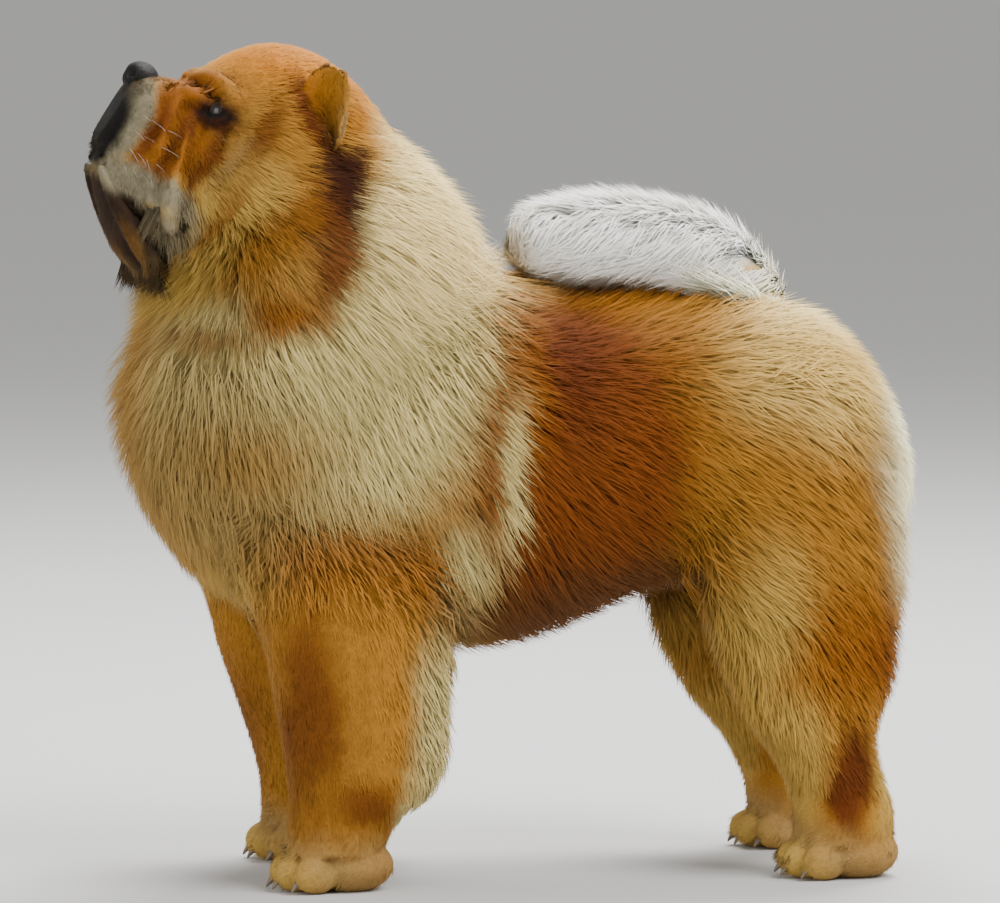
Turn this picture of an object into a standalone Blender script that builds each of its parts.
import math
import random

import bmesh
import bpy
from mathutils import Matrix, Vector
from mathutils.bvhtree import BVHTree

# A chow chow standing square with its head raised, life size. It faces -X, its left side is -Y
# and its paws stand on the ground at Z = 0. Lengths in the outlines are millimetres.
MM = 0.001
HEAD_PITCH = 33.0
HEAD_CENTRE = (-200, 0, 595)
PAW_SPREAD = 104
FORE_STEP = 24
HIND_STEP = 17
LEAN_HEIGHT = 145
LEAN_LIMIT = -0.25
GAP = 0.3

# The core of each node lies inside the outline by this share of the coat; the locks rise from it to the tips.
CORE_SHARE = 0.5
END_SHARE = 0.0002
WIDEST_AT = 0.58

# Outlines run out to the tips of the coat. A ring of the trunk is x, top, bottom, half width, coat depth.
TRUNK = [
    (-282, 470, 330, 70, 50),
    (-264, 510, 250, 112, 55),
    (-212, 530, 208, 152, 55),
    (-140, 520, 190, 168, 50),
    (-50, 500, 176, 172, 48),
    (30, 488, 190, 168, 45),
    (100, 487, 218, 163, 45),
    (165, 490, 232, 162, 45),
    (225, 484, 236, 160, 48),
    (275, 456, 240, 146, 50),
    (312, 410, 252, 118, 52),
    (336, 352, 280, 70, 50),
]

# A ring of the neck lies level: z, front, back, half width, coat depth.
NECK = [
    (250, -262, -60, 120, 60),
    (290, -294, -30, 154, 75),
    (340, -319, -12, 174, 84),
    (395, -328, 2, 183, 88),
    (445, -325, 8, 182, 88),
    (495, -311, 4, 170, 82),
    (540, -285, -16, 148, 70),
    (585, -262, -58, 120, 56),
    (625, -232, -102, 88, 40),
    (648, -200, -130, 50, 30),
]

# A ring of the skull stands across the head's own axis: forward, top, bottom, half width, coat depth.
SKULL = [
    (-98, 44, -70, 66, 26),
    (-75, 70, -100, 92, 32),
    (-35, 86, -128, 110, 32),
    (5, 88, -138, 108, 24),
    (36, 77, -136, 84, 8),
    (57, 58, -124, 57, 0),
    (71, 36, -100, 37, 0),
    (79, 16, -70, 23, 0),
]
MUZZLE = [
    (20, 16, -142, 56, 0),
    (55, 14, -137, 59, 0),
    (82, 10, -116, 56, 0),
    (100, 5, -98, 50, 0),
    (112, 0, -84, 42, 0),
    (119, -8, -72, 28, 0),
]

# A ring of a leg lies level: z, front, back, distance out from the middle, half width, coat depth.
FORELEG = [
    (330, -262, -60, 94, 62, 76),
    (270, -246, -50, 101, 67, 56),
    (215, -222, -54, 104, 64, 30),
    (160, -210, -58, 104, 60, 26),
    (110, -201, -60, 104, 55, 24),
    (78, -197, -74, 104, 50, 14),
    (56, -198, -106, 104, 44, 0),
    (30, -202, -118, 104, 42, 0),
]
HIND_LEG = [
    (400, 130, 292, 84, 74, 36),
    (340, 112, 318, 92, 78, 40),
    (270, 120, 324, 98, 70, 40),
    (215, 138, 318, 100, 62, 36),
    (160, 160, 310, 102, 54, 30),
    (122, 184, 293, 103, 46, 14),
    (88, 208, 296, 104, 43, 8),
    (56, 220, 306, 104, 42, 0),
    (28, 220, 306, 104, 40, 0),
]

# Points along each fold of the face, in the head's axes: forward, out and up, then the fold's radii.
FACE_FOLDS = [
    ([(76, 12, 14), (68, 36, 20), (53, 54, 19), (34, 70, 10)], [9, 11, 10, 8]),
    ([(84, 32, 6), (82, 45, -22), (73, 52, -58), (57, 59, -94)], [8, 10, 10, 7]),
    ([(61, 50, -16), (59, 57, -44), (49, 67, -78), (36, 74, -104)], [7, 10, 11, 8]),
    ([(110, 8, -70), (103, 34, -84), (80, 48, -104), (46, 54, -124), (20, 50, -132)], [8, 9, 9, 10, 9]),
    ([(67, 36, 7), (63, 47, 14), (55, 57, 13), (46, 65, 5)], [5, 5, 5, 5]),
    ([(67, 36, 1), (63, 47, -8), (55, 57, -9), (46, 65, -1)], [5, 5, 5, 5]),
]

ANKLE = 42

# Where the nodes part, as convex outlines in x and z; the jaw's is forward and up in the head's axes.
HEAD_REGION = [
    (-420, 452),
    (-240, 446),
    (-176, 470),
    (-150, 510),
    (-138, 560),
    (-128, 640),
    (-128, 720),
    (-420, 720),
]
NECK_REGION = [(-420, 256), (-235, 256), (-120, 292), (-28, 362), (14, 470), (14, 720), (-420, 720)]
JAW_REGION = [(150, -86), (60, -108), (14, -118), (14, -154), (150, -154)]
FORELEG_REGION = [(-300, 0), (-20, 0), (-20, 215), (-48, 250), (-262, 250), (-300, 225)]
HIND_LEG_REGION = [(100, 0), (400, 0), (400, 330), (330, 392), (240, 402), (170, 340), (112, 236), (100, 200)]
ABOVE_ANKLE = [(-500, ANKLE), (500, ANKLE), (500, 800), (-500, 800)]
LEG_INNER = 28
WIDE = 260
JAW_HALF = 60
JAW_SHARE = 0.93
PAW_ROOM = 90
SHOULDER = (200, 300)

EAR_FOOT = (-170, 76, 602)
EAR_TIP = (-154, 98, 666)
EAR_WIDTH = 58
EAR_THICK = 12
EAR_THIN = 4
EAR_ROUNDS_AT = 0.97
EAR_SQUARENESS = 2.6
EAR_BULGE = 13
EAR_TURN = 42
EAR_TRIANGLES = 190
EYE = (51, 50, 2)
EYE_RADIUS = 10.5
EYE_TURN = 43
ORBIT_RADII = (11, 12.5, 7.5)
NOSE = (113, 0, -6)
NOSE_RADII = (13, 20, 12)
NOSTRIL = (122, 10, -8)
NOSTRIL_RADII = (7, 5, 4)
NOSTRIL_TURN = 35

# The tail's line from its root forward over the back, with its radii.
TAIL_PATH = [(214, 0, 450), (200, 0, 484), (162, 0, 507), (105, 0, 516), (50, 0, 515), (16, 0, 512)]
TAIL_RADII = [30, 38, 43, 46, 43, 32]
TAIL_FLAT = 1.9
TAIL_COAT = 0.8

# A paw is two pads, each placed behind and above its middle, with radii. A toe is its distance out and
# ahead of the middle, and its turn outwards in degrees. A claw runs from its root to its tip on the toe.
PADS = [((10, 0, 20), (38, 40, 25)), ((6, 0, 40), (36, 36, 18))]
TOES = [(-27, 22, 12), (-10, 34, 3), (10, 34, -3), (27, 22, -12)]
TOE_RADII = (21, 12.5, 17)
TOE_HEIGHT = 15
CLAW = ((-16, 0, -5), (-22.5, 0, -11))
CLAW_RADII = (3.4, 0.9)
FORE_TOES = -204
HIND_TOES = 212

FLESH_VOXEL = 4.5
PAW_VOXEL = 3.0
EAR_VOXEL = 2.2
SHARP_ANGLE = 40
SLIVERS = (0.01, 0.03)
BODY_TRIANGLES = 1600
HEAD_TRIANGLES = 1500
PAW_TRIANGLES = 200

# A kind of lock: length, width, thickness, least spacing across and along the coat, and number of rings.
LOCKS = {
    "ruff": (114, 40, 6, 30, 44, 3),
    "trunk": (102, 44, 6, 36, 52, 3),
    "breech": (94, 38, 5, 31, 50, 3),
    "feather": (72, 32, 5, 27, 44, 3),
    "plume": (88, 32, 5, 21, 34, 3),
    "cheek": (84, 34, 5, 25, 32, 3),
}
LOCK_OF = {"head": "cheek", "neck": "ruff", "torso": "trunk", "hindleg": "breech", "foreleg": "feather"}

# A lock varies and bends by these shares. Its root is sunk, it comes out of the core at a share of its
# length, and it arches up until its tip stands just past the outline.
LOCK_VARIES = 0.15
LOCK_BEND = 0.5
LOCK_SUNK = 9
LOCK_OUT_AT = 0.22
LOCK_FREE_AT = 0.28
LOCK_ARCH = 0.7
TIPS_STAND = 1.16
LOCK_CLEAR = 0.8
LEAST_COAT = 7
DEEPEST_COAT = 60
LOCK_REACH = 260
ROOT_TRIES = 9000
TAIL_TRIES = 1500
SEED = 13

# The coat parts round the face from this point, and these heights and places bound the long coat.
FACE_MIDDLE = (-262, 0, 560)
RUFF_FALLS = Vector((0.2, 0, -0.7))
TRUNK_LIE = Vector((1.0, 0, -0.25))
LEG_LIE = Vector((0.35, 0, -1.0))
FLANK = 150
FLANK_FALLS = 0.35
CHEEK_FRONT = 12
CHEEK_TOP = 640
BELLY = 215
BELLY_HALF = 60
HOCK = 135
WRIST = 95
FEATHER_FRONT = -135

SIDES = (("left", -1), ("right", 1))

# A node's material: its colour and roughness.
LOOKS = {
    "saddle": ((0.42, 0.17, 0.04), 0.85),
    "ruff": ((0.66, 0.45, 0.22), 0.85),
    "face": ((0.55, 0.26, 0.06), 0.85),
    "ear": ((0.45, 0.2, 0.05), 0.85),
    "leg": ((0.56, 0.32, 0.11), 0.85),
    "paw": ((0.72, 0.52, 0.28), 0.85),
    "plume": ((0.86, 0.82, 0.72), 0.85),
    "leather": ((0.03, 0.025, 0.025), 0.45),
    "eye": ((0.03, 0.015, 0.01), 0.15),
}
LOOK_OF = {
    "torso": "saddle",
    "neck": "ruff",
    "head": "face",
    "lower": "leather",
    "nose": "leather",
    "tail": "plume",
    "eye": "eye",
    "ear": "ear",
    "foreleg": "leg",
    "hindleg": "leg",
    "forepaw": "paw",
    "hindpaw": "paw",
}


def clear_scene():
    for thing in list(bpy.data.objects):
        bpy.data.objects.remove(thing)


def head_point(forward, right, up):
    """A point in the head's own axes, in millimetres, as a place in the world."""
    pitch = math.radians(HEAD_PITCH)
    ahead = Vector((-math.cos(pitch), 0, math.sin(pitch)))
    above = Vector((math.sin(pitch), 0, math.cos(pitch)))
    return (Vector(HEAD_CENTRE) + ahead * forward + above * up + Vector((0, right, 0))) * MM


def new_object(name, bm):
    mesh = bpy.data.meshes.new(name)
    bmesh.ops.recalc_face_normals(bm, faces=bm.faces)
    bm.to_mesh(mesh)
    bm.free()
    thing = bpy.data.objects.new(name, mesh)
    bpy.context.scene.collection.objects.link(thing)
    return thing


def eased(rows, steps):
    """Rows of numbers with more between them, along a smooth curve through each column."""
    found = []
    last = len(rows) - 1
    for i in range(last):
        four = [rows[max(0, min(last, j))] for j in (i - 1, i, i + 1, i + 2)]
        for k in range(steps):
            found.append([between(*column, k / steps) for column in zip(*four)])
    found.append(list(rows[last]))
    return found


def between(a, b, c, d, t):
    """A number part of the way from b to c, on the smooth curve that also heeds a and d."""
    return 0.5 * (2 * b + (c - a) * t + (2 * a - 5 * b + 4 * c - d) * t**2 + (3 * b - a - 3 * c + d) * t**3)


def ring(middle, up, up_reach, down_reach, side, sides, squareness):
    """Points of an egg-shaped ring round a middle, from its reaches up, down and to each side."""
    points = []
    for k in range(sides):
        turn = 2 * math.pi * k / sides
        c, s = math.cos(turn), math.sin(turn)
        rise = math.copysign(abs(c) ** squareness, c) * (up_reach if c > 0 else down_reach)
        out = math.copysign(abs(s) ** squareness, s) * side
        points.append((middle + up * rise + Vector((0, out, 0))) * MM)
    return points


def loft(bm, rings, dome=0.35):
    """A closed skin through rings of points, domed at both ends by a point past the last ring."""
    made = [[bm.verts.new(p) for p in points] for points in rings]
    count = len(rings[0])
    for low, high in zip(made, made[1:]):
        for k in range(count):
            bm.faces.new((low[k], low[(k + 1) % count], high[(k + 1) % count], high[k]))
    for end, inner in ((made[0], made[1]), (made[-1], made[-2])):
        middle = sum((v.co for v in end), Vector()) / count
        before = sum((v.co for v in inner), Vector()) / count
        tip = bm.verts.new(middle + (middle - before) * dome)
        for k in range(count):
            bm.faces.new((end[k], end[(k + 1) % count], tip))


def trunk_rings(share, sides=28, squareness=0.86):
    rings = []
    for x, top, bottom, side, coat in eased(TRUNK, 3):
        less = share * coat
        middle = Vector((x * (1 - less * END_SHARE), 0, (top + bottom) / 2))
        reach = (top - bottom) / 2 - less
        rings.append(ring(middle, Vector((0, 0, 1)), reach, reach, side - less, sides, squareness))
    return rings


def neck_rings(share, sides=28, squareness=0.92):
    rings = []
    for z, front, back, side, coat in eased(NECK, 3):
        less = share * coat
        middle = Vector(((front + back) / 2, 0, z))
        reach = (back - front) / 2 - less
        rings.append(ring(middle, Vector((-1, 0, 0)), reach, reach, side - less, sides, squareness))
    return rings


def head_rings(rows, share, sides, squareness):
    """Rings of the skull or muzzle. The crown's coat is short, so the top stays at the outline."""
    rings = []
    above = (head_point(0, 0, 1) - head_point(0, 0, 0)).normalized()
    for forward, top, bottom, side, coat in eased(rows, 3):
        less = share * coat
        widest = bottom + WIDEST_AT * (top - bottom)
        middle = head_point(forward, 0, widest) / MM
        reaches = (top - widest, widest - bottom - less, side - less)
        rings.append(ring(middle, above, *reaches, sides, squareness))
    return rings


def leg_rings(rows, share, side_sign, step, sides=20, squareness=0.95):
    """Rings of a leg. A foreleg has long coat only behind, so its front and sides stay at the outline."""
    rings = []
    for z, front, back, out, side, coat in eased(rows, 3):
        less = share * coat
        ahead = less * smooth_step(*SHOULDER, z) if rows is FORELEG else less
        reach = (back - front - less - ahead) / 2
        lean = step * max(LEAN_LIMIT, 1 - z / LEAN_HEIGHT)
        middle = Vector((front + ahead + reach + lean, side_sign * out, z))
        rings.append(ring(middle, Vector((-1, 0, 0)), reach, reach, side - ahead, sides, squareness))
    return rings


def steps_of(side_sign):
    """How far back the fore and hind paw of a side stand from those of the left side."""
    return (0, 0) if side_sign < 0 else (FORE_STEP, HIND_STEP)


def applied(thing):
    """The object with its modifiers worked into its mesh."""
    graph = bpy.context.evaluated_depsgraph_get()
    graph.update()
    mesh = bpy.data.meshes.new_from_object(thing.evaluated_get(graph))
    old = thing.data
    thing.modifiers.clear()
    thing.data = mesh
    bpy.data.meshes.remove(old)
    return thing


def fused(thing, voxel, smoothing):
    """Shells that run through each other made one smooth skin."""
    remesh = thing.modifiers.new("Fuse", "REMESH")
    remesh.mode = "VOXEL"
    remesh.voxel_size = voxel * MM
    smooth = thing.modifiers.new("Smooth", "SMOOTH")
    smooth.iterations = smoothing
    return applied(thing)


def thinned(thing, triangles):
    """The same shape with about this many triangles."""
    thing.data.calc_loop_triangles()
    ratio = triangles / max(1, len(thing.data.loop_triangles))
    decimate = thing.modifiers.new("Thin", "DECIMATE")
    decimate.ratio = min(1.0, ratio)
    decimate.use_collapse_triangulate = True
    return applied(thing)


def flesh(share):
    """The dog but for paws, tail, ears, nose and eyes, one skin inside the outline by a share of the coat."""
    bm = bmesh.new()
    loft(bm, trunk_rings(share))
    loft(bm, neck_rings(share))
    loft(bm, head_rings(SKULL, share, 28, 0.9))
    loft(bm, head_rings(MUZZLE, share, 24, 0.7))
    for sign in (-1, 1):
        fore, hind = steps_of(sign)
        loft(bm, leg_rings(FORELEG, share, sign, fore))
        loft(bm, leg_rings(HIND_LEG, share, sign, hind))
        for places, radii in FACE_FOLDS:
            loft(bm, fold_rings(places, radii, sign))
    return fused(new_object("flesh", bm), FLESH_VOXEL, 5)


def fold_rings(places, radii, sign, sides=10):
    """Rings along a fold of skin, given by points in the head's axes."""
    rows = eased([(forward, right * sign, up, r) for (forward, right, up), r in zip(places, radii)], 3)
    path = [head_point(*row[:3]) for row in rows]
    rings = []
    for k, middle in enumerate(path):
        along = (path[min(k + 1, len(path) - 1)] - path[max(k - 1, 0)]).normalized()
        first = along.orthogonal().normalized()
        second = along.cross(first)
        size = rows[k][3] * MM
        rings.append([middle + (first * math.cos(a) + second * math.sin(a)) * size
                      for a in (2 * math.pi * i / sides for i in range(sides))])
    return rings


def prism(name, profile, low, high, turned=False):
    """A cutter: a convex outline in x and z, or in the head's axes, drawn out across the dog."""
    bm = bmesh.new()
    for across in (low, high):
        for a, b in profile:
            bm.verts.new(head_point(a, across, b) if turned else Vector((a, across, b)) * MM)
    bmesh.ops.convex_hull(bm, input=bm.verts)
    return new_object(name, bm)


def shifted(profile, by):
    """A convex outline with each edge moved out, the wedge of clear space between two nodes."""
    middle = [sum(p[k] for p in profile) / len(profile) for k in (0, 1)]
    lines = []
    for (ax, ay), (bx, by_) in zip(profile, profile[1:] + profile[:1]):
        nx, ny = by_ - ay, ax - bx
        size = math.hypot(nx, ny)
        nx, ny = nx / size, ny / size
        if (ax - middle[0]) * nx + (ay - middle[1]) * ny < 0:
            nx, ny = -nx, -ny
        lines.append((nx, ny, nx * ax + ny * ay + by))
    found = []
    for (a, b, c), (d, e, f) in zip(lines[-1:] + lines[:-1], lines):
        det = a * e - b * d
        found.append(((c * e - b * f) / det, (a * f - c * d) / det))
    return found


def boolean(thing, other, operation, solver="EXACT"):
    cut = thing.modifiers.new(operation.title(), "BOOLEAN")
    cut.operation = operation
    cut.solver = solver
    cut.object = other
    return applied(thing)


def remove(*things):
    for thing in things:
        bpy.data.objects.remove(thing)


def copied(thing, name):
    other = bpy.data.objects.new(name, thing.data.copy())
    bpy.context.scene.collection.objects.link(other)
    return other


def grown(thing, name, by):
    """A copy whose surface lies further out, to cut room for what meets it."""
    other = copied(thing, name)
    push = other.modifiers.new("Grow", "DISPLACE")
    push.strength = by * MM
    push.mid_level = 0.0
    return applied(other)


def largest_piece(thing):
    """Keeps the largest closed surface of a node, and welds its shortest edges while it stays closed."""
    bm = bmesh.new()
    bm.from_mesh(thing.data)
    left = set(bm.verts)
    pieces = []
    while left:
        stack = [left.pop()]
        found = set(stack)
        while stack:
            for edge in stack.pop().link_edges:
                for vert in edge.verts:
                    if vert in left:
                        left.discard(vert)
                        found.add(vert)
                        stack.append(vert)
        pieces.append(found)

    def size_of(piece):
        xs, ys, zs = zip(*(v.co for v in piece))
        return (max(xs) - min(xs)) * (max(ys) - min(ys)) * (max(zs) - min(zs))

    best = max(pieces, key=size_of)
    bmesh.ops.delete(bm, geom=[v for v in bm.verts if v not in best], context="VERTS")
    bmesh.ops.triangulate(bm, faces=bm.faces)
    bm.to_mesh(thing.data)
    for size in SLIVERS:
        bmesh.ops.remove_doubles(bm, verts=bm.verts, dist=size * MM)
        if all(edge.is_manifold for edge in bm.edges):
            bm.to_mesh(thing.data)
    bm.free()
    return thing


def finished(thing, name, material):
    thing.name = name
    thing.data.name = name
    thing.data.materials.clear()
    thing.data.materials.append(material)
    thing.data.shade_smooth()
    thing.data.set_sharp_from_angle(angle=math.radians(SHARP_ANGLE))
    return thing


def coat_material(name, colour, roughness):
    material = bpy.data.materials.new(name)
    material.use_nodes = True
    shader = material.node_tree.nodes["Principled BSDF"]
    shader.inputs["Base Color"].default_value = (*colour, 1)
    shader.inputs["Roughness"].default_value = roughness
    shader.inputs["Metallic"].default_value = 0.0
    return material


def ball(bm, middle, radii, turn=None, steps=(16, 10)):
    """An ellipsoid with radii along X, Y and Z before it is turned."""
    placed = Matrix.Translation(middle) @ (turn or Matrix.Identity(4)) @ Matrix.Diagonal((*radii, 1.0))
    bmesh.ops.create_uvsphere(bm, u_segments=steps[0], v_segments=steps[1], radius=1.0, matrix=placed)


def head_turn():
    """The turn that carries forward, right and up of the head onto the world's axes."""
    return Matrix.Rotation(math.radians(HEAD_PITCH), 4, "Y")


def ear(sign):
    """A thick rounded triangle, cupped in front, its foot run into the skull."""
    across, along = 8, 9
    wide = EAR_WIDTH / 2
    foot = Vector((EAR_FOOT[0], sign * EAR_FOOT[1], EAR_FOOT[2]))
    tip = Vector((EAR_TIP[0], sign * EAR_TIP[1], EAR_TIP[2]))
    axis = (tip - foot).normalized()
    facing = Vector((-math.cos(math.radians(EAR_TURN)), sign * math.sin(math.radians(EAR_TURN)), 0))
    facing = (facing - axis * facing.dot(axis)).normalized()
    side = axis.cross(facing)
    height = (tip - foot).length
    bm = bmesh.new()
    grids = []
    for layer in (0, 1):
        rows = []
        for j in range(along + 1):
            t = EAR_ROUNDS_AT * j / along
            half = wide * math.sqrt(1 - t**EAR_SQUARENESS)
            row = []
            for i in range(across + 1):
                u = 2 * i / across - 1
                bulge = EAR_BULGE * (1 - u * u) * (1 - 0.5 * t)
                thick = EAR_THIN + (EAR_THICK - EAR_THIN) * u * u * (1 - t)
                depth = -bulge + layer * thick
                place = foot + axis * height * t + side * u * half + facing * depth
                row.append(bm.verts.new(place * MM))
            rows.append(row)
        grids.append(rows)
    for rows in grids:
        for low, high in zip(rows, rows[1:]):
            for i in range(across):
                bm.faces.new((low[i], low[i + 1], high[i + 1], high[i]))
    back, front = grids
    rims = [rows[0] + [row[-1] for row in rows[1:]] + rows[-1][-2::-1] + [row[0] for row in rows[-2:0:-1]]
            for rows in (back, front)]
    for k in range(len(rims[0])):
        n = (k + 1) % len(rims[0])
        bm.faces.new((rims[0][k], rims[0][n], rims[1][n], rims[1][k]))
    return thinned(fused(new_object("ear", bm), EAR_VOXEL, 2), EAR_TRIANGLES)


def smooth_step(low, high, value):
    t = max(0.0, min(1.0, (value - low) / (high - low)))
    return t * t * (3 - 2 * t)


def lie_of_body(place):
    """The way the coat lies: away from the face, back along the trunk, and down the thighs and legs."""
    x, y, z = place / MM
    from_face = (place / MM - Vector(FACE_MIDDLE)).normalized() + RUFF_FALLS
    trunk = TRUNK_LIE + Vector((0, 0, -FLANK_FALLS)) * min(1.0, abs(y) / FLANK)
    rump = smooth_step(150, 300, x) * smooth_step(0, 120, abs(y) + 0.4 * (x - 200))
    legs = smooth_step(250, 190, z) * smooth_step(20, 60, abs(y))
    body = trunk.lerp(LEG_LIE, rump).lerp(LEG_LIE, legs)
    low_chest = min(0, 0.35 * (z - 400))
    return from_face.lerp(body, smooth_step(-70, 40, x + low_chest))


def lie_of_tail(place):
    """The way the plume lies: forward along the tail, spreading to its sides and falling at its tip."""
    x, y, _ = place / MM
    spread = max(-1.0, min(1.0, y / 60))
    falls = -0.1 if x > 170 else 0.15 + 0.3 * abs(spread)
    return Vector((-1.0, 0.75 * spread, -falls))


def surface_points(thing, rng, count):
    """Points spread at random over an object's surface."""
    thing.data.calc_loop_triangles()
    triangles = thing.data.loop_triangles
    places = [v.co for v in thing.data.vertices]
    for triangle in rng.choices(triangles, weights=[t.area for t in triangles], k=count):
        a, b, c = (places[i] for i in triangle.vertices)
        u, v = sorted((rng.random(), rng.random()))
        yield a * u + b * (v - u) + c * (1 - v)


def tree_of(thing):
    mesh = thing.data
    return BVHTree.FromPolygons([v.co for v in mesh.vertices], [p.vertices for p in mesh.polygons])


def laid(aim, normal):
    """A direction turned to lie on the surface."""
    return (aim - normal * aim.dot(normal)).normalized()


def strand(core, outer, root, lie, length, bend, points=10):
    """A lock's middle line: from its sunk root it follows the lie of the coat and rises to the tips."""
    here, normal, _, _ = core.find_nearest(root)
    line = []
    for k in range(points):
        share = k / (points - 1)
        aim = laid(lie(here), normal)
        aim = (aim + normal.cross(aim) * bend * (share - LOCK_OUT_AT)).normalized()
        depth = outer.ray_cast(here + normal * 0.1 * MM, normal, DEEPEST_COAT * MM)[3] or LEAST_COAT * MM
        if share < LOCK_OUT_AT:
            height = -LOCK_SUNK * MM * (1 - share / LOCK_OUT_AT)
        else:
            risen = ((share - LOCK_OUT_AT) / (1 - LOCK_OUT_AT)) ** LOCK_ARCH
            height = TIPS_STAND * max(depth, LEAST_COAT * MM) * risen
        line.append((here + normal * height, normal))
        onward, turned, _, _ = core.find_nearest(here + aim * length / (points - 1))
        here, normal = onward, (normal + turned).normalized()
    return line


def lock(line, width, thick, rings, first=0.0):
    """A flat tapered lock along its line, three-sided: a flat underside and a ridge above."""
    places = []
    for k in range(rings):
        share = first + (1 - first) * k / rings
        at = share * (len(line) - 1)
        i = min(int(at), len(line) - 2)
        middle = line[i][0].lerp(line[i + 1][0], at - i)
        normal = line[i][1].lerp(line[i + 1][1], at - i)
        along = (line[i + 1][0] - line[i][0]).normalized()
        side = along.cross(normal).normalized()
        above = side.cross(along)
        taper = 0.72 + 0.28 * math.sin(math.pi * min(1.0, share / 0.8))
        out = side * width * taper / 2
        up = above * thick * taper / 2
        places += [middle + out - up, middle - out - up, middle + up]
    places.append(line[-1][0])
    faces = [(2, 1, 0)]
    for k in range(rings - 1):
        a = 3 * k
        for i in range(3):
            j = (i + 1) % 3
            faces += [(a + i, a + j, a + j + 3), (a + i, a + j + 3, a + i + 3)]
    end = 3 * (rings - 1)
    faces += [(end + i, end + (i + 1) % 3, end + 3) for i in range(3)]
    return places, faces


def crowded(root, aim, roots, across, along):
    """Whether a root lies too near one that is already there, beside it or in line with it."""
    for other in roots:
        gap = (root - other) / MM
        ahead = gap.dot(aim)
        beside = math.sqrt(max(0.0, gap.length_squared - ahead**2))
        if beside < across and abs(ahead) < along:
            return True
    return False


def meets(tree, root, standing):
    """Whether a lock's room meets any of the locks that stand near its root."""
    return any(tree.overlap(other) for place, other in standing if (place - root).length < LOCK_REACH * MM)


def crosses_itself(places, faces):
    """Whether a lock is twisted so far that its own faces pass through each other."""
    tree = BVHTree.FromPolygons(places, faces)
    return any(not set(faces[i]) & set(faces[j]) for i, j in tree.overlap(tree))


def grow_locks(name, surfaces, others, standing, rng):
    """Locks over a node's own part of the core, each clear of its neighbours except at its root."""
    core, outer, points, lie = surfaces
    roots = []
    own = []
    shapes = []
    for root in points:
        kind = kind_at(name, root)
        if kind is None:
            continue
        length, width, thick, across, along, rings = LOCKS[kind]
        normal = core.find_nearest(root)[1]
        if crowded(root, laid(lie(root), normal), roots, across, along):
            continue
        longer, wider, bend = (rng.uniform(-1, 1) for _ in range(3))
        line = strand(core, outer, root, lie, length * (1 + LOCK_VARIES * longer) * MM, LOCK_BEND * bend)
        width *= (1 + LOCK_VARIES * wider) * MM
        thick *= MM
        swollen = (width + 2 * LOCK_CLEAR * MM, thick + 2 * LOCK_CLEAR * MM)
        room = BVHTree.FromPolygons(*lock(line, *swollen, rings))
        free = BVHTree.FromPolygons(*lock(line, *swollen, 2 * rings, LOCK_FREE_AT))
        others_met = any(room.overlap(tree) for tree in others) or meets(room, root, standing)
        shape = lock(line, width, thick, rings)
        if others_met or meets(free, root, own) or crosses_itself(*shape):
            continue
        roots.append(root)
        own.append((root, free))
        shapes.append(shape)
    standing += [(root, BVHTree.FromPolygons(*shape)) for root, shape in zip(roots, shapes)]
    return shapes


def united(thing, shapes):
    """The node's core joined with its locks in one union."""
    group = bpy.data.collections.new("locks")
    bpy.context.scene.collection.children.link(group)
    for places, faces in shapes:
        mesh = bpy.data.meshes.new("lock")
        mesh.from_pydata(places, [], faces)
        group.objects.link(bpy.data.objects.new("lock", mesh))
    join = thing.modifiers.new("Join", "BOOLEAN")
    join.operation = "UNION"
    join.operand_type = "COLLECTION"
    join.solver = "MANIFOLD"
    join.use_self = False
    join.collection = group
    applied(thing)
    for piece in list(group.objects):
        bpy.data.objects.remove(piece)
    bpy.data.collections.remove(group)
    return thing


def inside(profile, x, z):
    """Whether a point lies in a convex outline."""
    turns = [(bx - ax) * (z - ay) - (by - ay) * (x - ax)
             for (ax, ay), (bx, by) in zip(profile, profile[1:] + profile[:1])]
    return min(turns) > 0 or max(turns) < 0


def node_at(place):
    """The name of the node whose skin holds a point."""
    x, y, z = place / MM
    if inside(HEAD_REGION, x, z):
        return "head"
    if inside(NECK_REGION, x, z):
        return "neck"
    side_name = "left" if y < 0 else "right"
    if abs(y) > LEG_INNER:
        fore, hind = steps_of(math.copysign(1, y))
        if inside(FORELEG_REGION, x - fore * LEAN_LIMIT, z):
            return f"foreleg_{side_name}"
        if inside(HIND_LEG_REGION, x - hind * LEAN_LIMIT, z):
            return f"hindleg_{side_name}"
    return "torso"


def kind_at(name, place):
    """The kind of lock at a point of a node; none off the node or where the coat is too short for locks."""
    if name == "tail":
        return "plume"
    if node_at(place) != name:
        return None
    x, y, z = place / MM
    ahead = (head_point(1, 0, 0) - head_point(0, 0, 0)).normalized()
    forward = (place - head_point(0, 0, 0)).dot(ahead) / MM
    long_coat = {
        "head": forward < CHEEK_FRONT and z < CHEEK_TOP,
        "neck": True,
        "torso": z > BELLY or abs(y) > BELLY_HALF,
        "hindleg": z > HOCK,
        "foreleg": x > FEATHER_FRONT and z > WRIST,
    }
    part = name.split("_")[0]
    return LOCK_OF[part] if long_coat[part] else None


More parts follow.
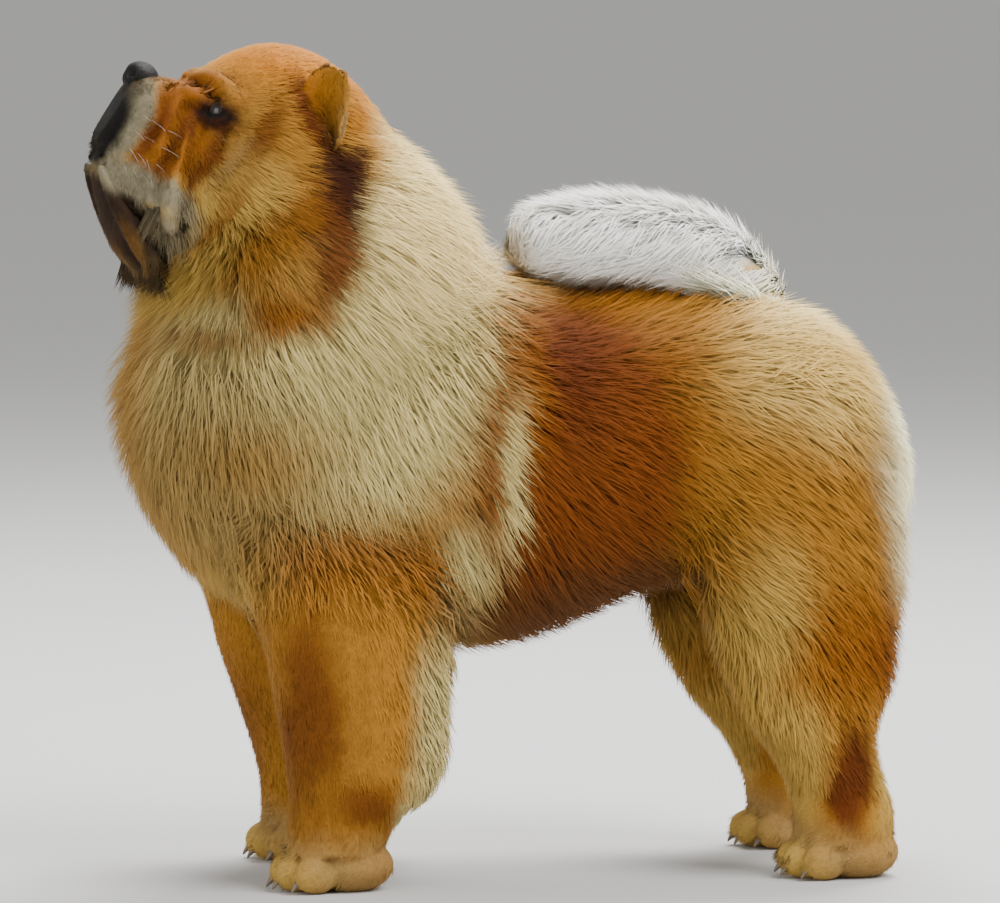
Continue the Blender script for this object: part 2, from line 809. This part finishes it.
def paw(rows, sign, step, front):
    """A round compact paw: pads, four toes and their claws, cut level at the ground and under the leg."""
    heel = rows[-1][2] + step
    middle = Vector(((front + step + heel) / 2 + 4, sign * PAW_SPREAD, 0))
    bm = bmesh.new()
    for place, radii in PADS:
        ball(bm, (middle + Vector(place)) * MM, Vector(radii) * MM)
    claws = bmesh.new()
    for out, ahead, turn in TOES:
        toe = middle + Vector((-ahead, out, TOE_HEIGHT))
        spin = Matrix.Rotation(math.radians(turn), 4, "Z")
        ball(bm, toe * MM, Vector(TOE_RADII) * MM, spin)
        root, tip = (toe + spin @ Vector(end) for end in CLAW)
        aim = (tip - root).to_track_quat("Z", "Y").to_matrix().to_4x4()
        bmesh.ops.create_cone(claws, cap_ends=True, segments=6, radius1=CLAW_RADII[0] * MM,
                              radius2=CLAW_RADII[1] * MM, depth=(tip - root).length * MM,
                              matrix=Matrix.Translation((root + tip) / 2 * MM) @ aim)
    pad = thinned(fused(new_object("paw", bm), PAW_VOXEL, 2), PAW_TRIANGLES)
    nails = new_object("nails", claws)
    boolean(pad, nails, "UNION")
    low, high = middle.x - PAW_ROOM, middle.x + PAW_ROOM
    level = [(low, 0), (high, 0), (high, ANKLE - GAP), (low, ANKLE - GAP)]
    box = prism("box", level, middle.y - PAW_ROOM, middle.y + PAW_ROOM)
    boolean(pad, box, "INTERSECT")
    remove(nails, box)
    return pad


def tail_form(share, sides=12):
    """The tail, carried forward over the back, inside its outline by a share of its radius."""
    sizes = [size * (1 - share * TAIL_COAT) for size in TAIL_RADII]
    rows = eased([(*place, size) for place, size in zip(TAIL_PATH, sizes)], 2)
    rings = []
    for k, row in enumerate(rows):
        after = Vector(rows[min(k + 1, len(rows) - 1)][:3])
        before = Vector(rows[max(k - 1, 0)][:3])
        above = Vector((0, 1, 0)).cross(before - after).normalized()
        rings.append(ring(Vector(row[:3]), above, row[3], row[3], row[3] * TAIL_FLAT, sides, 1))
    bm = bmesh.new()
    loft(bm, rings)
    return new_object("tail", bm)


def region_nodes(plain, fine):
    """The flesh parted into head, lower jaw, neck, torso and legs by thin cuts."""
    head_cut = prism("head cut", HEAD_REGION, -WIDE, WIDE)
    neck_cut = prism("neck cut", NECK_REGION, -WIDE, WIDE)
    head_room = prism("head room", shifted(HEAD_REGION, GAP), -WIDE, WIDE)
    neck_room = prism("neck room", shifted(NECK_REGION, GAP), -WIDE, WIDE)
    jaw_cut = prism("jaw cut", JAW_REGION, -JAW_HALF, JAW_HALF, turned=True)
    jaw_room = prism("jaw room", shifted(JAW_REGION, GAP), -JAW_HALF - GAP, JAW_HALF + GAP, turned=True)

    nodes = {}
    nodes["head"] = boolean(copied(fine, "head"), head_cut, "INTERSECT")
    nodes["lower_jaw"] = boolean(copied(nodes["head"], "jaw"), jaw_cut, "INTERSECT")
    for vert in nodes["lower_jaw"].data.vertices:
        vert.co.y *= JAW_SHARE
    boolean(nodes["head"], jaw_room, "DIFFERENCE")
    nodes["neck"] = boolean(copied(plain, "neck"), neck_cut, "INTERSECT")
    boolean(nodes["neck"], head_room, "DIFFERENCE")
    nodes["torso"] = copied(plain, "torso")
    boolean(nodes["torso"], neck_room, "DIFFERENCE")
    boolean(nodes["torso"], head_room, "DIFFERENCE")
    for side_name, sign in SIDES:
        fore, hind = steps_of(sign)
        for kind, region, step in (("foreleg", FORELEG_REGION, fore), ("hindleg", HIND_LEG_REGION, hind)):
            placed = [(x + step * LEAN_LIMIT, z) for x, z in region]
            low, high = sorted((sign * LEG_INNER, sign * WIDE))
            cut = prism("cut", placed, low, high)
            room = prism("room", shifted(placed, GAP), low - GAP, high + GAP)
            above = prism("above", ABOVE_ANKLE, -WIDE, WIDE)
            leg = boolean(copied(plain, kind), cut, "INTERSECT")
            nodes[f"{kind}_{side_name}"] = boolean(leg, above, "INTERSECT")
            boolean(nodes["torso"], room, "DIFFERENCE")
            remove(cut, room, above)
    remove(head_cut, neck_cut, head_room, neck_room, jaw_cut, jaw_room)
    return nodes


def set_eye(head, sign):
    """An eyeball deep in the head, behind an orbit that opens the head in front of it."""
    place = head_point(EYE[0], sign * EYE[1], EYE[2])
    turn = head_turn() @ Matrix.Rotation(math.radians(sign * EYE_TURN), 4, "Z")
    bm = bmesh.new()
    ball(bm, place, Vector((EYE_RADIUS,) * 3) * MM, steps=(10, 7))
    eye = new_object("eye", bm)
    bm = bmesh.new()
    ball(bm, place + turn @ Vector((-EYE_RADIUS * MM, 0, 0)), Vector(ORBIT_RADII) * MM, turn, steps=(12, 8))
    orbit = new_object("orbit", bm)
    socket = grown(eye, "socket", GAP)
    boolean(head, orbit, "DIFFERENCE")
    boolean(head, socket, "DIFFERENCE")
    remove(socket, orbit)
    return eye


def make_nose(head):
    bm = bmesh.new()
    ball(bm, head_point(*NOSE), Vector(NOSE_RADII) * MM, head_turn(), steps=(14, 10))
    nose = new_object("nose", bm)
    for sign in (-1, 1):
        bm = bmesh.new()
        ball(bm, head_point(NOSTRIL[0], sign * NOSTRIL[1], NOSTRIL[2]), Vector(NOSTRIL_RADII) * MM,
             head_turn() @ Matrix.Rotation(sign * math.radians(NOSTRIL_TURN), 4, "Z"), steps=(10, 6))
        hole = new_object("hole", bm)
        boolean(nose, hole, "DIFFERENCE", "MANIFOLD")
        remove(hole)
    return clear_of(nose, head, "MANIFOLD")


def clear_of(thing, other, solver="EXACT"):
    """Cuts a node back from another, leaving the gap between them."""
    near = grown(other, "near", GAP)
    boolean(thing, near, "DIFFERENCE", solver)
    remove(near)
    return thing


def dress(nodes, whole):
    """Grows the locks of the tail, head, neck, trunk and legs in turn, and joins them to their nodes."""
    rng = random.Random(SEED)
    outline = flesh(0.0)
    tail_outline = tail_form(0.0)
    trees = {name: tree_of(node) for name, node in nodes.items()}
    roots = list(surface_points(whole, rng, ROOT_TRIES))
    tail_roots = list(surface_points(nodes["tail"], rng, TAIL_TRIES))
    body = (tree_of(whole), tree_of(outline), roots, lie_of_body)
    plume = (trees["tail"], tree_of(tail_outline), tail_roots, lie_of_tail)
    standing = []
    legs = [f"{kind}_{side_name}" for kind in ("hindleg", "foreleg") for side_name, _ in SIDES]
    for name in ("tail", "head", "neck", "torso", *legs):
        others = [tree for other, tree in trees.items() if other != name]
        surfaces = plume if name == "tail" else body
        shapes = grow_locks(name, surfaces, others, standing, rng)
        united(nodes[name], shapes)
    remove(outline, tail_outline)


def main():
    clear_scene()
    coats = {name: coat_material(name, *look) for name, look in LOOKS.items()}
    whole = flesh(CORE_SHARE)
    plain = thinned(copied(whole, "plain"), BODY_TRIANGLES)
    fine = copied(whole, "fine")
    near_head = prism("near head", shifted(HEAD_REGION, 20), -WIDE - 10, WIDE + 10)
    boolean(fine, near_head, "INTERSECT")
    thinned(fine, HEAD_TRIANGLES)

    nodes = region_nodes(plain, fine)
    for side_name, sign in SIDES:
        fore, hind = (step * (1 - ANKLE / LEAN_HEIGHT) for step in steps_of(sign))
        nodes[f"forepaw_{side_name}"] = paw(FORELEG, sign, fore, FORE_TOES)
        nodes[f"hindpaw_{side_name}"] = paw(HIND_LEG, sign, hind, HIND_TOES)
        nodes[f"eye_{side_name}"] = set_eye(nodes["head"], sign)
        nodes[f"ear_{side_name}"] = clear_of(ear(sign), fine)
    nodes["nose"] = make_nose(nodes["head"])
    nodes["tail"] = clear_of(tail_form(CORE_SHARE), nodes["torso"])
    for node in nodes.values():
        largest_piece(node)
    dress(nodes, whole)
    for name, node in nodes.items():
        finished(largest_piece(node), name, coats[LOOK_OF[name.split("_")[0]]])
    remove(whole, plain, fine, near_head)


main()
